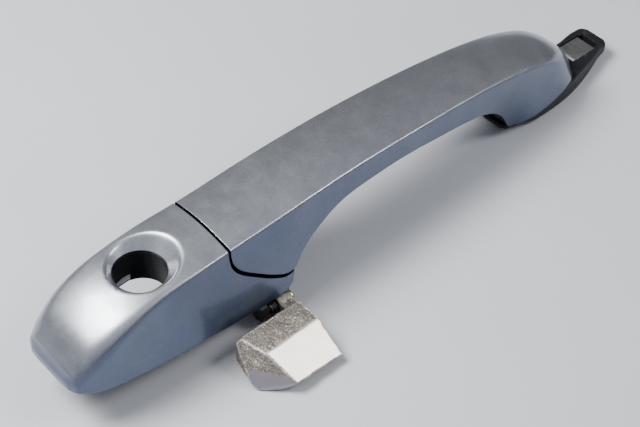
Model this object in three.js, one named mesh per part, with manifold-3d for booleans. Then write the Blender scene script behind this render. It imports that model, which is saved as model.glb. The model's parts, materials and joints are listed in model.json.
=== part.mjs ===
// Exterior door handle of a car: a fixed end cap with an open lock recess, a pull grip that turns about
// its front hook arm, and a cast counterweight on a crank under the cap that swings as the grip is pulled.
//
// Millimetres. +X runs along the handle from the cap to the hook arm, +Z is the outward normal of the door
// skin, and Z = 0 is the plane in which the cap stands on the door. X = 0 is the seam between cap and grip.

import * as THREE from 'three';
import * as BufferGeometryUtils from 'three/addons/utils/BufferGeometryUtils.js';
import { ConvexGeometry } from 'three/addons/geometries/ConvexGeometry.js';
import { ParametricGeometry } from 'three/addons/geometries/ParametricGeometry.js';
import Module from 'manifold-3d';

const wasm = await Module();
wasm.setup();

// ---------------------------------------------------------------- driving dimensions

const CAP_END = -62.6; // rear end of the cap
const NOSE = 184.6; // front end of the painted grip
const WALL = 2.4; // moulded wall of the painted shells
const FLARE_POWER = 1.3; // how late the side faces sweep out towards the door
const FAR = 60; // reach of a cutting block past the object
const GAP = 0.3; // clearance between neighbouring pieces

const LOCK_X = -25.3; // lock axis, parallel to Z
const LOCK_BORE = 9.2;
const LOCK_RIM_Z = 24;
const RECESS_SLOPE = 0.94; // growth of the recess radius per millimetre of height
const SLEEVE_OUTER = 10.6;
const SLEEVE_BOTTOM = 13.5;
const SLEEVE_SCREW_OFFSET = 16.8;

const END_WALL = [-3, -0.6]; // wall that closes the cap behind the seam
const TONGUE_FRONT = 19.2; // front of the opening in the cap's tongue
const SEAM_SHIFT = new THREE.Vector2(1.0, 0.9); // grip outline against cap outline at the seam

const FOOT_REAR = 140.6;
const FOOT_RIM_START = 145;
const FOOT_RIM_RUN = 27;
const FOOT_RIM_Z = [1.1, 6]; // the painted rim climbs from the first height to the second towards the nose

const ARM_TOP = 5.7;
const ARM_TIP = 206.5;
const ARM_BOTTOM = -2.5;
const PLATE_Y = [-4.4, 5.2]; // edges of the metal insert in the hook arm

const CORE_DEPTH = 3.4; // crease height above the core beam's top
const CORE_THICKNESS = 3.2;
const CORE_HALF_WIDTH = 7.5;

const PIN_Y = -19.5; // counterweight crank pivot, parallel to X
const PIN_Z = -5.5;
const PIN_RADIUS = 1.5;
const PIN_HEAD_RADIUS = 2.8;
const PIN_X = [9.6, 23.2];
const EAR_X = [8.6, 11.8];
const CRANK_X = [15.8, 18.6]; // inner arm of the crank
const CRANK_THICKNESS = 4;
const LEG_X = [13.4, 18.6];
const LEG_Y = [8.2, 12.2];
const LEG_BOTTOM = -11;
const SHELF_Y = [-1, 12.2]; // shelf of the pull leg, under the crank's inner arm
const SHELF_THICKNESS = 1.8;

const GASKET_X = [-48.4, 8]; // the gasket's rear and front edges
const CARRIER_LEVEL = [0.4, 3]; // bottom and top of the carrier's frame
const CARRIER_WEB_LEVEL = [0.6, 1.8]; // thin web across the carrier's near half
const SEAT_BAR = { x: [-4, 4], y: [-16.5, 16.5], z: [0, 3] }; // carrier bar that stands on the door

// ---------------------------------------------------------------- finishes

const paint = () => new THREE.MeshStandardMaterial({ color: 0x7f8c9e, roughness: 0.32, metalness: 0.75 });
const blackNylon = () => new THREE.MeshStandardMaterial({ color: 0x15161a, roughness: 0.6, metalness: 0 });
const softBlack = () => new THREE.MeshStandardMaterial({ color: 0x0e0e10, roughness: 0.85, metalness: 0 });
const castZinc = () => new THREE.MeshStandardMaterial({ color: 0xa39a90, roughness: 0.5, metalness: 0.9 });
const plate = () => new THREE.MeshStandardMaterial({ color: 0xa8a8a4, roughness: 0.35, metalness: 1 });
const yellowZinc = () => new THREE.MeshStandardMaterial({ color: 0xb8a878, roughness: 0.35, metalness: 1 });
const steel = () => new THREE.MeshStandardMaterial({ color: 0x9a9ca0, roughness: 0.3, metalness: 1 });

// ---------------------------------------------------------------- solids

function signedVolume(position, index) {
  const a = new THREE.Vector3();
  const b = new THREE.Vector3();
  const c = new THREE.Vector3();
  let volume = 0;
  for (let i = 0; i < index.length; i += 3) {
    a.fromBufferAttribute(position, index[i]);
    b.fromBufferAttribute(position, index[i + 1]);
    c.fromBufferAttribute(position, index[i + 2]);
    volume += a.dot(b.cross(c)) / 6;
  }
  return volume;
}

// A closed three.js geometry as a solid. Collapsed triangles go, and the faces are turned outwards.
function solid(geometry) {
  const bare = geometry.clone();
  bare.deleteAttribute('normal');
  bare.deleteAttribute('uv');
  const merged = BufferGeometryUtils.mergeVertices(bare, 1e-4);
  const kept = [];
  for (let i = 0; i < merged.index.count; i += 3) {
    const [a, b, c] = [0, 1, 2].map((k) => merged.index.getX(i + k));
    if (a !== b && b !== c && c !== a) kept.push(a, b, c);
  }
  if (signedVolume(merged.attributes.position, kept) < 0) kept.reverse();
  return new wasm.Manifold(new wasm.Mesh({
    numProp: 3,
    vertProperties: new Float32Array(merged.attributes.position.array),
    triVerts: new Uint32Array(kept),
  }));
}

function mesh(name, body, material) {
  const result = body.getMesh();
  const geometry = new THREE.BufferGeometry();
  geometry.setAttribute('position', new THREE.BufferAttribute(result.vertProperties, 3));
  geometry.setIndex(new THREE.BufferAttribute(result.triVerts, 1));
  geometry.computeVertexNormals();
  const node = new THREE.Mesh(geometry, material);
  node.name = name;
  return node;
}

function box(x, y, z) {
  const geometry = new THREE.BoxGeometry(x[1] - x[0], y[1] - y[0], z[1] - z[0]);
  geometry.translate((x[0] + x[1]) / 2, (y[0] + y[1]) / 2, (z[0] + z[1]) / 2);
  return solid(geometry);
}

function grown([low, high], by) {
  return [low - by, high + by];
}

function extruded(points, depth) {
  const shape = new THREE.Shape(points.map(([a, b]) => new THREE.Vector2(a, b)));
  return new THREE.ExtrudeGeometry(shape, { depth, bevelEnabled: false });
}

// An outline of [x, y] points between two heights.
function planPrism(points, z) {
  return solid(extruded(points, z[1] - z[0]).translate(0, 0, z[0]));
}

// An outline of [x, z] points, seen from the side, between two y values.
function sidePrism(points, y) {
  return solid(extruded(points, y[1] - y[0]).rotateX(Math.PI / 2).translate(0, y[1], 0));
}

// An outline of [y, z] points, seen along the handle, between two x values.
function endPrism(points, x) {
  const geometry = extruded(points, x[1] - x[0]);
  return solid(geometry.rotateX(Math.PI / 2).rotateZ(Math.PI / 2).translate(x[0], 0, 0));
}

// A turned body on a vertical axis from a closed profile of [radius, z] points.
function turned(profile, x, y, segments = 24) {
  const points = profile.map(([r, z]) => new THREE.Vector2(r, z));
  points.push(points[0].clone());
  return solid(new THREE.LatheGeometry(points, segments).rotateX(Math.PI / 2).translate(x, y, 0));
}

function post(radius, x, y, z, segments = 20) {
  return turned([[0, z[0]], [radius, z[0]], [radius, z[1]], [0, z[1]]], x, y, segments);
}

function tube(inner, outer, x, y, z, segments = 32) {
  return turned([[inner, z[0]], [outer, z[0]], [outer, z[1]], [inner, z[1]]], x, y, segments);
}

function axle(radius, x, y, z, segments = 20) {
  const geometry = new THREE.CylinderGeometry(radius, radius, x[1] - x[0], segments);
  return solid(geometry.rotateZ(Math.PI / 2).translate((x[0] + x[1]) / 2, y, z));
}

// A smooth function through [x, value] points, held constant past both ends.
function through(points) {
  const xs = points.map((p) => p[0]);
  const curve = new THREE.CubicInterpolant(xs, points.map((p) => p[1]), 1, new Float64Array(1));
  return (x) => curve.evaluate(THREE.MathUtils.clamp(x, xs[0], xs[xs.length - 1]))[0];
}

function range(from, to, count) {
  return Array.from({ length: count + 1 }, (_, i) => from + ((to - from) * i) / count);
}

// ---------------------------------------------------------------- outer form

// Height of the crease between top face and side faces.
const creaseHeight = through([
  [-62.6, 4.4], [-61.8, 6.4], [-60, 9], [-58, 11.3], [-55, 14.4], [-50.5, 17.7], [-42.5, 21.9],
  [-33, 24.8], [-23.5, 26.4], [-12, 27.4], [0, 28.1], [30, 30.5], [60, 32.1], [90, 31.9], [120, 30.4],
  [145, 27.1], [160, 23.7], [172, 18.9], [178, 14.1], [182, 10], [184.6, 6.9],
]);

// Rise of the top face between its two crease lines.
const crownRise = through([
  [-62.6, 1.4], [-58, 2.2], [-50, 2.4], [150, 2.4], [166, 2.3], [176, 1.5], [184.6, 0.6],
]);

// Half the width between the crease lines.
const creaseHalfWidth = through([
  [-62.6, 5], [-62.4, 8.3], [-61.9, 10.7], [-61.2, 12.2], [-60, 13.3], [-58, 14.2], [-55, 15],
  [-50, 15.9], [-44, 16.1], [-36, 15.8], [-28, 15.4], [-15, 15.2], [0, 14.8], [20, 14.8], [50, 14.5],
  [90, 14], [130, 13.1], [155, 12.5], [166, 11.4], [174, 9.2], [180, 6], [183, 3.4], [184.6, 1.5],
]);

// Half the width of the side faces where they reach, or would reach, the door.
const baseHalfWidth = through([
  [-62.6, 5.6], [-62.4, 9], [-61.9, 11.5], [-61.2, 13.1], [-60, 14.3], [-58, 15.1], [-55, 15.8],
  [-51.5, 16.5], [-43, 17.9], [-31, 19.2], [-16, 20.2], [5, 20.9], [20, 20.7], [30, 19.8], [60, 16.6],
  [100, 15], [130, 13.2], [140.5, 12.2], [145, 13.4], [150, 15.1], [158, 16.1], [168, 16.3], [175, 15.9],
  [180, 14.1], [182.6, 11.6], [184, 8.4], [184.6, 5.4],
]);

// The cap's lower edge lifts a little towards its rear end.
const capUnderside = through([
  [-62.6, 3], [-60, 2.6], [-57, 1.6], [-54, 0.6], [-50, 0],
]);

// Underside of the arch between the tail and the foot.
const archHeight = through([
  [24, 4.5], [27, 8], [30, 11.2], [34, 14.2], [40, 17.4], [46, 20], [53, 21.7], [64, 22.5], [76, 22.9],
  [88, 22.4], [102, 21.2], [116, 19.6], [125, 17], [131.5, 13], [136.8, 7.2], [FOOT_REAR, FOOT_RIM_Z[0]],
]);

function footRim(x) {
  const share = THREE.MathUtils.clamp((x - FOOT_RIM_START) / FOOT_RIM_RUN, 0, 1);
  return THREE.MathUtils.lerp(FOOT_RIM_Z[0], FOOT_RIM_Z[1], share);
}

function gripUnderside(x) {
  return x < FOOT_REAR ? archHeight(x) : footRim(x);
}

// The grip's hollow keeps its wall where the underside is steep, and is open over the foot.
function gripHollowUnderside(x) {
  const openFrom = FOOT_REAR + WALL + 0.2;
  if (x > openFrom) return ARM_BOTTOM - 2;
  const half = WALL / 2;
  return half + Math.max(archHeight(x - WALL), archHeight(x + WALL), archHeight(x) + half);
}

const SIDE_STEPS = 3;
const CROWN_STEPS = 6;

// Cross-section at x as [y, z] points, drawn in from the outer form by inset.
function section(x, underside, inset) {
  const top = creaseHeight(x) - inset;
  const half = Math.max(creaseHalfWidth(x) - inset, 0.2);
  const base = Math.max(baseHalfWidth(x) - inset, 0.3);
  const bottom = Math.min(underside(x), top - 0.3);
  const side = range(bottom, top, SIDE_STEPS).map((z) => {
    const flare = THREE.MathUtils.clamp(1 - z / top, 0, 1) ** FLARE_POWER;
    return [half + (base - half) * flare, z];
  });
  const rise = crownRise(x);
  const across = range(half, -half, CROWN_STEPS).slice(1, -1);
  const crown = across.map((y) => [y, top + rise * (1 - (y / half) ** 2)]);
  const mirrored = side.map(([y, z]) => [-y, z]).reverse();
  return [...side, ...crown, ...mirrored];
}

// A closed body through the sections at the given x values.
function loft(xs, underside, inset = 0) {
  const rings = xs.map((x) => section(x, underside, inset).map(([y, z]) => new THREE.Vector3(x, y, z)));
  const count = rings[0].length;
  const centre = (ring) => ring.reduce((sum, p) => sum.add(p), new THREE.Vector3()).divideScalar(count);
  const levels = [null, ...rings, null];
  const stacks = levels.length - 1;
  const point = (u, v, target) => {
    const level = Math.round(v * stacks);
    if (level === 0) target.copy(centre(rings[0]));
    else if (level === stacks) target.copy(centre(rings[rings.length - 1]));
    else target.copy(levels[level][Math.round(u * count) % count]);
  };
  return solid(new ParametricGeometry(point, count, stacks));
}

// Where the lofts take their sections: close together wherever the form turns.
const STATIONS = [
  ...[CAP_END, -62.4, -61.9, -61.1, -59.8, -58, -55.5, -52.5, -49, -44.5], ...range(-40, 20, 6),
  ...[24, 26, 28, 30, 34, 39, 45], ...range(54, 117, 7),
  ...[122, 126, 129, 132, 135, 138, FOOT_REAR, 143.1, 143.4, 146.5, 151, 157, 163, 168, 172, 176, 179],
  ...[181.4, 183, 184, NOSE],
];

function stations(from, to) {
  return [from, ...STATIONS.filter((x) => x > from + 0.2 && x < to - 0.2), to];
}

// Seam between cap and grip from the side: down from the top, then forward under the grip's tail.
const SEAM = new THREE.SplineCurve([
  [-0.6, 24.5], [0, 21], [2, 17.6], [7.6, 13], [14.3, 8.5], [18.2, 6.4], [21.7, 5.2], [24.8, 5.6],
].map(([x, z]) => new THREE.Vector2(x, z)));

function seamLine(shift) {
  return SEAM.getPoints(14).map((p) => [p.x + shift.x, p.y + shift.y]);
}

// Side outline of everything above the seam, shifted away from it.
function aboveSeam(shift) {
  const line = seamLine(shift);
  const [first, last] = [line[0], line[line.length - 1]];
  const around = [[last[0], -FAR / 4], [FAR * 5, -FAR / 4], [FAR * 5, FAR]];
  return sidePrism([[first[0], FAR], ...line, ...around], [-FAR, FAR]);
}

function belowSeam() {
  const line = seamLine(new THREE.Vector2(0, 0)).reverse();
  const tongueEnd = [[20.9, -FAR / 4], [20.9, 0], [23.6, 2.2]];
  const back = [[line[line.length - 1][0], FAR], [-2 * FAR, FAR], [-2 * FAR, -FAR / 4]];
  return sidePrism([...tongueEnd, ...line, ...back], [-FAR, FAR]);
}

// A flat ring that follows the cap's base between two insets from its edge.
function baseOutline(from, to, inset) {
  const xs = range(from, to, 14);
  const near = xs.map((x) => [x, -(baseHalfWidth(x) - inset)]);
  return [...near, ...near.map(([x, y]) => [x, -y]).reverse()];
}

// ---------------------------------------------------------------- screws

// A pan-head screw pointing up, its head's underside at z.
function screw(x, y, z, length, radius, headRadius, headHeight) {
  const head = [[0, z - headHeight], [headRadius * 0.8, z - headHeight], [headRadius, z - headHeight * 0.6]];
  const shank = [[headRadius, z], [radius, z], [radius, z + length - radius], [0, z + length]];
  const drive = post(headRadius * 0.4, x, y, [z - headHeight - 1, z - headHeight * 0.45], 6);
  return turned([...head, ...shank], x, y, 12).subtract(drive);
}

function screwHole(x, y, z, length, radius) {
  return post(radius + GAP, x, y, [z - 1, z + length + GAP], 12);
}

const SLEEVE_SCREWS = [LOCK_X - SLEEVE_SCREW_OFFSET, LOCK_X + SLEEVE_SCREW_OFFSET];
const SLEEVE_SCREW = { y: 0, z: 15, length: 5.4, radius: 1.4, head: 2.7, height: 1.6 };
const CARRIER_SCREW = { x: -51, y: 7.5, z: 0.9, length: 7.5, radius: 1.4, head: 2.4, height: 1.3 };
const LEG_SCREWS = [15.2, 20.8];
const LEG_SCREW = { y: -2, z: 17.2, length: 8, radius: 1.4, head: 2.6, height: 1.6 };
const ARM_SCREWS = [152, 161];
const ARM_SCREW = { y: 0, z: -0.7, length: 22, radius: 1.5, head: 2.9, height: 1.5 };
const LINER_SCREWS = [52, 116];
const LINER_SCREW = { y: 0, length: 6.6, radius: 1.3, head: 2.5, height: 1.2, seat: 1.5 };

function fit(x, s, z = s.z, y = s.y) {
  return screw(x, y, z, s.length, s.radius, s.head, s.height);
}

function clearance(x, s, z = s.z, y = s.y) {
  return screwHole(x, y, z, s.length, s.radius);
}

// ---------------------------------------------------------------- cap, fixed to the door

function capOuter() {
  return loft(stations(CAP_END, 27), capUnderside).intersect(belowSeam());
}

function capHollow() {
  const main = loft(stations(CAP_END + WALL, END_WALL[0]), () => -2, WALL);
  const tongue = loft(stations(END_WALL[0] - 0.1, TONGUE_FRONT), () => -2, WALL);
  return main.add(tongue.intersect(box([END_WALL[0] - 1, FAR], [-FAR, FAR], [-FAR, 10])));
}

function recess(bottomRadius, low, high) {
  const grow = (z) => bottomRadius + (z - LOCK_RIM_Z) * RECESS_SLOPE;
  const profile = [[0, low], [bottomRadius, low], [bottomRadius, LOCK_RIM_Z], [grow(high), high], [0, high]];
  return turned(profile, LOCK_X, 0, 40);
}

function capShell() {
  const cup = recess(SLEEVE_OUTER + 2.3, 17, 31);
  const sleeveBosses = SLEEVE_SCREWS.map((x) => post(3.2, x, 0, [17, 28]));
  const carrierBosses = [-1, 1].map((s) => post(3, CARRIER_SCREW.x, s * CARRIER_SCREW.y, [3.3, 18]));
  let body = capOuter().subtract(capHollow());
  for (const boss of [cup, ...sleeveBosses, ...carrierBosses]) body = body.add(boss.intersect(capOuter()));
  body = body.subtract(box(grown(SEAT_BAR.x, GAP), grown(SEAT_BAR.y, GAP), [-1, SEAT_BAR.z[1] + GAP]));
  body = body.subtract(recess(LOCK_BORE, LOCK_RIM_Z - 1, 36));
  body = body.subtract(post(SLEEVE_OUTER + GAP, LOCK_X, 0, [0, LOCK_RIM_Z - 0.6], 40));
  for (const x of SLEEVE_SCREWS) body = body.subtract(clearance(x, SLEEVE_SCREW));
  for (const s of [-1, 1]) {
    body = body.subtract(clearance(CARRIER_SCREW.x, CARRIER_SCREW, CARRIER_SCREW.z, s * CARRIER_SCREW.y));
  }
  return body;
}

// Black tube below the recess; its lower rim drops on the side towards the grip.
function lockSleeve() {
  const lugs = box([LOCK_X - 20, LOCK_X + 20], [-3.6, 3.6], [15.2, 16.7]);
  const drop = box([LOCK_X + 2, LOCK_X + SLEEVE_OUTER + 1], [-7, 9], [-FAR, SLEEVE_BOTTOM]);
  let body = tube(LOCK_BORE, SLEEVE_OUTER, LOCK_X, 0, [SLEEVE_BOTTOM - 3, LOCK_RIM_Z - 0.9], 40);
  body = body.subtract(box([-FAR * 2, FAR], [-FAR, FAR], [0, SLEEVE_BOTTOM]).subtract(drop));
  body = body.add(lugs).add(post(12.2, LOCK_X, 0, [15.2, 16.7], 40));
  body = body.subtract(post(LOCK_BORE, LOCK_X, 0, [0, 40], 40));
  for (const x of SLEEVE_SCREWS) body = body.subtract(clearance(x, SLEEVE_SCREW));
  return body;
}

function sleeveSeal() {
  const ring = new THREE.TorusGeometry(SLEEVE_OUTER + 1.0, 0.7, 6, 24);
  return solid(ring.translate(LOCK_X, 0, 14.3));
}

function capGasket() {
  const low = -0.9;
  const high = -0.12;
  const ring = planPrism(baseOutline(GASKET_X[0], GASKET_X[1], 0.9), [low, high]);
  return ring.subtract(planPrism(baseOutline(GASKET_X[0] + 1.6, GASKET_X[1] + 1, 2.3), [low - 1, high + 1]));
}

// Black frame inside the cap that clips to the door and carries the crank's pivot ear.
function capCarrier() {
  const inset = WALL + 1.5;
  const rails = planPrism(baseOutline(CAP_END + WALL + 1.8, TONGUE_FRONT - 0.4, inset), CARRIER_LEVEL);
  const opening = planPrism(baseOutline(-47, TONGUE_FRONT + 1, inset + 3), [-1, 5]);
  const seatBar = box(SEAT_BAR.x, SEAT_BAR.y, SEAT_BAR.z);
  const armSlot = box(grown(CRANK_X, 0.8), [-FAR, 0], [0, 5]);
  const lockWindow = box([-46, SEAT_BAR.x[0] - 1], [0, FAR], [0, 5]);
  const web = planPrism(baseOutline(-47, SEAT_BAR.x[0] + 0.1, inset + 1), CARRIER_WEB_LEVEL);
  const ear = endPrism([
    [-13.8, 2.8], [-16.9, 2.8], [-16.9, -0.5], [-20.6, -2.6], [-21.8, PIN_Z], [-20.8, -8.2], [-17.7, -8.6],
    [-13.8, -5],
  ], EAR_X);
  let body = rails.subtract(opening).subtract(armSlot).subtract(lockWindow).add(seatBar).add(ear);
  body = body.add(web.intersect(box([-FAR, FAR], [-FAR, -0.5], CARRIER_WEB_LEVEL)));
  body = body.subtract(axle(PIN_RADIUS + GAP, [PIN_X[0] - GAP, EAR_X[1] + 1], PIN_Y, PIN_Z));
  for (const s of [-1, 1]) {
    const y = s * CARRIER_SCREW.y;
    body = body.subtract(clearance(CARRIER_SCREW.x, CARRIER_SCREW, CARRIER_SCREW.z, y));
    body = body.subtract(post(CARRIER_SCREW.head + GAP, CARRIER_SCREW.x, y, [-1, CARRIER_SCREW.z + 0.1]));
  }
  return body;
}

// Bent spring strip that holds the cap's rear end in the door.
function capClip() {
  const outside = [[-56, 3.3], [-45, 3.3], [-43, 6.3], [-45.5, 9.6]];
  const inside = [[-46.2, 9.1], [-44, 6.3], [-45.6, 4.1], [-56, 4.1]];
  return sidePrism([...outside, ...inside], [-3.6, 3.6]);
}

function crankPin() {
  const shank = axle(PIN_RADIUS, [PIN_X[0], PIN_X[1] - 1], PIN_Y, PIN_Z);
  return shank.add(axle(PIN_HEAD_RADIUS, [PIN_X[1] - 1.4, PIN_X[1]], PIN_Y, PIN_Z));
}

// Torsion spring wound round the pin between the ear and the crank's hub.
function crankSpring() {
  const coilRadius = 2.5;
  const turns = 2.6;
  const line = range(0, 2 * Math.PI * turns, 32).map((angle, i) => {
    const x = 12.7 + 0.075 * i;
    return new THREE.Vector3(x, PIN_Y + coilRadius * Math.cos(angle), PIN_Z + coilRadius * Math.sin(angle));
  });
  const wire = new THREE.Shape().absarc(0, 0, 0.4, 0, 2 * Math.PI);
  const extrudePath = new THREE.CatmullRomCurve3(line);
  const options = { steps: 36, curveSegments: 2, extrudePath, bevelEnabled: false };
  return solid(new THREE.ExtrudeGeometry(wire, options));
}

// ---------------------------------------------------------------- counterweight crank

function crankLever() {
  const hub = axle(3.9, [15.8, 21.4], PIN_Y, PIN_Z);
  const half = CRANK_THICKNESS / 2;
  const arm = box(CRANK_X, [PIN_Y, 7.5], [PIN_Z - half, PIN_Z + half]);
  const stem = box([15.8, 20.8], [-28, PIN_Y], [PIN_Z - 2.2, PIN_Z + 2.6]);
  const tang = box([12, 18.4], [-36, -27.3], [PIN_Z - 2, PIN_Z + 1.6]);
  const rivetHole = post(1.8, 15, -32, [-13, 0]);
  return hub.add(arm).add(stem).add(tang).subtract(axle(2.7, [10, 30], PIN_Y, PIN_Z)).subtract(rivetHole);
}

function crankBush() {
  return axle(2.4, [15.8, 21.4], PIN_Y, PIN_Z).subtract(axle(PIN_RADIUS + GAP, [10, 30], PIN_Y, PIN_Z));
}

// Cast block with sawn and broken facets; its pocket takes the lever's tang.
function counterweight() {
  const corners = [
    [-5.8, -26.9, 0], [20.2, -26.7, 0], [20.2, -36.7, 0], [-3.4, -37.5, 0], [20.2, -49.6, -7.1],
    [0.3, -49.5, -7.1], [-2.8, -45.4, -12], [-9.1, -40.1, -12], [-9.8, -37.6, -10.4], [-6.9, -25.8, -1.5],
    [-7.6, -26.9, -10], [20.2, -46.5, -12], [20.2, -26.9, -12], [-6, -27.4, -12],
  ];
  const block = solid(new ConvexGeometry(corners.map((c) => new THREE.Vector3(...c))));
  const pocket = box([11.7, 21], [-36.3, -20], [PIN_Z - 2.3, PIN_Z + 1.9]);
  const neck = box([15.5, 21], [-28.3, -20], [PIN_Z - 2.5, PIN_Z + 2.9]);
  return block.subtract(pocket).subtract(neck).subtract(post(1.8, 15, -32, [-13, -1.5]));
}

function weightRivet() {
  return post(1.5, 15, -32, [-11.9, -1.8]);
}

// ---------------------------------------------------------------- grip

function gripHollow() {
  const start = 0.4 + WALL;
  const inner = loft(stations(start, NOSE - WALL - 0.6), gripHollowUnderside, WALL);
  return inner.intersect(aboveSeam(SEAM_SHIFT.clone().addScalar(WALL)));
}

function gripWalls() {
  const outer = loft(stations(0.4, NOSE), gripUnderside).intersect(aboveSeam(SEAM_SHIFT));
  return outer.subtract(gripHollow());
}

function linerWindow(inset) {
  return box([38 + inset, 130 - inset], [-10 + inset, 10 - inset], [8, 26]);
}

function tailBumperHole(side, radius) {
  return post(radius, 21, side * 5, [4, 12]);
}

function gripShell() {
  let body = gripWalls().subtract(linerWindow(0));
  body = body.subtract(box([LEG_X[0] - 0.7, LEG_X[1] + 0.7], [LEG_Y[0] - 0.6, LEG_Y[1] + 0.6], [0, 15]));
  for (const side of [-1, 1]) body = body.subtract(tailBumperHole(side, 2.1));
  return body;
}

function gripLiner() {
  let body = gripWalls().intersect(linerWindow(GAP));
  for (const x of LINER_SCREWS) {
    const seat = archHeight(x) + LINER_SCREW.seat;
    body = body.subtract(clearance(x, LINER_SCREW, seat));
    body = body.subtract(post(LINER_SCREW.head + GAP, x, 0, [seat - 3, seat + 0.1]));
  }
  return body;
}

// Stiff beam inside the grip: everything that carries load is screwed to it.
function gripCore() {
  const xs = range(8, 166, 16);
  const top = xs.map((x) => [x, creaseHeight(x) - CORE_DEPTH]);
  const bottom = top.map(([x, z]) => [x, z - CORE_THICKNESS]).reverse();
  let body = sidePrism([...top, ...bottom], [-CORE_HALF_WIDTH, CORE_HALF_WIDTH]);
  for (const x of LEG_SCREWS) body = body.subtract(clearance(x, LEG_SCREW));
  for (const x of ARM_SCREWS) body = body.subtract(clearance(x, ARM_SCREW));
  for (const x of LINER_SCREWS) {
    body = body.subtract(clearance(x, LINER_SCREW, archHeight(x) + LINER_SCREW.seat));
  }
  return body;
}

// Outline of the black base: the foot's outline, then a taper into the hook arm.
function armOutline() {
  const near = [
    [147, -12.6], [152, -13.8], [171, -13.4], [181, -11.9], [189, -9.8], [197, -7.4], [203.5, -6.2],
    [205.6, -5.4], [ARM_TIP, -3.6],
  ];
  const far = [
    [ARM_TIP, 5.4], [206, 7.2], [204.4, 8.2], [199.6, 8.4], [194, 7.7], [188, 7.1], [183, 9.2], [178, 11.8],
    [171, 13.4], [152, 13.8], [147, 12.6],
  ];
  return [...near, ...far];
}

function pivotArm() {
  const rimGap = 0.35;
  const tipEnd = ARM_TIP + 1;
  const underRim = [147, 172].map((x) => [x, footRim(x) - rimGap]);
  const top = [...underRim, [183, ARM_TOP - 0.05], [tipEnd, ARM_TOP]];
  const bottom = [[tipEnd, 2.4], [200, 0.2], [192, -1.9], [186, ARM_BOTTOM], [153, ARM_BOTTOM], [147, -0.7]];
  const plug = box([146.5, 166], [-6.5, 6.5], [ARM_BOTTOM, 14.4]);
  const plugOutline = [
    [140, -5], [170, -5], [170, 13.6], [166, 13.6], [158, 16.4], [150, 18.4], [140, 18.4],
  ];
  const plugTop = sidePrism(plugOutline, [-8, 8]);
  const pocket = box([186, 201], grown(PLATE_Y, GAP), [3.2, 9]);
  let body = planPrism(armOutline(), [-5, 9]).intersect(sidePrism([...bottom, ...top], [-FAR, FAR]));
  body = body.add(plug.intersect(plugTop)).subtract(pocket);
  for (const x of ARM_SCREWS) {
    body = body.subtract(clearance(x, ARM_SCREW));
    body = body.subtract(post(ARM_SCREW.head + GAP, x, 0, [-4, ARM_SCREW.z + 0.1]));
  }
  return body;
}

// Metal insert in the arm's pocket, its inner end turned down.
function wearPlate() {
  const outline = [[186.4, 3.5], [200.2, 3.5], [200.2, 5.0], [188.2, 5.0], [186.9, 4.6], [186.4, 3.9]];
  return sidePrism(outline, PLATE_Y);
}

// Soft pad under the rear of the foot, with a pointed lug at each corner.
function footPad() {
  const near = [[139.3, 0], [139.3, -8.6], [140.7, -11], [142.5, -11.4], [146, -12.3], [146, 0]];
  const outline = [...near, ...near.slice(1, -1).map(([x, y]) => [x, -y]).reverse()];
  const relief = planPrism([[143.4, -8.6], [147, -8.6], [147, 8.6], [143.4, 8.6]], [-5, 5]);
  return planPrism(outline, [-1.2, FOOT_RIM_Z[0] - GAP]).subtract(relief);
}

// Cast leg from the grip's tail: flange inside the grip, leg through the tongue, shelf under the crank arm.
function pullLeg() {
  const flange = box([11.4, 23.8], [-6.5, LEG_Y[1]], [17.4, 21.6]);
  const leg = box(LEG_X, LEG_Y, [LEG_BOTTOM, 20]);
  const shelf = box(LEG_X, SHELF_Y, [LEG_BOTTOM, LEG_BOTTOM + SHELF_THICKNESS]);
  let body = flange.add(leg).add(shelf);
  for (const x of LEG_SCREWS) body = body.subtract(clearance(x, LEG_SCREW));
  return body;
}

function tailBumper(side) {
  return post(1.8, 21, side * 5, [6.2, 10.6]);
}

// ---------------------------------------------------------------- assembly

const cap = new THREE.Group();
cap.add(
  mesh('cap_shell', capShell(), paint()),
  mesh('lock_sleeve', lockSleeve(), blackNylon()),
  mesh('sleeve_seal', sleeveSeal(), softBlack()),
  mesh('cap_gasket', capGasket(), softBlack()),
  mesh('cap_carrier', capCarrier(), blackNylon()),
  mesh('cap_clip', capClip(), steel()),
  mesh('crank_pin', crankPin(), yellowZinc()),
  mesh('crank_spring', crankSpring(), steel()),
);
SLEEVE_SCREWS.forEach((x, i) => cap.add(mesh(`sleeve_screw_${i + 1}`, fit(x, SLEEVE_SCREW), steel())));
[-1, 1].forEach((s, i) => {
  const body = fit(CARRIER_SCREW.x, CARRIER_SCREW, CARRIER_SCREW.z, s * CARRIER_SCREW.y);
  cap.add(mesh(`carrier_screw_${i + 1}`, body, steel()));
});

const crank = new THREE.Group();
crank.add(
  mesh('crank_lever', crankLever(), castZinc()),
  mesh('crank_bush', crankBush(), blackNylon()),
  mesh('counterweight', counterweight(), castZinc()),
  mesh('weight_rivet', weightRivet(), steel()),
);

const grip = new THREE.Group();
grip.add(
  mesh('grip_shell', gripShell(), paint()),
  mesh('grip_liner', gripLiner(), paint()),
  mesh('grip_core', gripCore(), blackNylon()),
  mesh('pivot_arm', pivotArm(), blackNylon()),
  mesh('wear_plate', wearPlate(), plate()),
  mesh('foot_pad', footPad(), softBlack()),
  mesh('pull_leg', pullLeg(), castZinc()),
  mesh('tail_bumper_near', tailBumper(-1), softBlack()),
  mesh('tail_bumper_far', tailBumper(1), softBlack()),
);
LEG_SCREWS.forEach((x, i) => grip.add(mesh(`leg_screw_${i + 1}`, fit(x, LEG_SCREW), steel())));
ARM_SCREWS.forEach((x, i) => grip.add(mesh(`arm_screw_${i + 1}`, fit(x, ARM_SCREW), steel())));
LINER_SCREWS.forEach((x, i) => {
  grip.add(mesh(`liner_screw_${i + 1}`, fit(x, LINER_SCREW, archHeight(x) + LINER_SCREW.seat), steel()));
});

const group = new THREE.Group();
group.add(cap, crank, grip);

export default group;
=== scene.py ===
import json
import math

import bmesh
import bpy
import numpy as np
from mathutils import Matrix, Vector, noise

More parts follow.
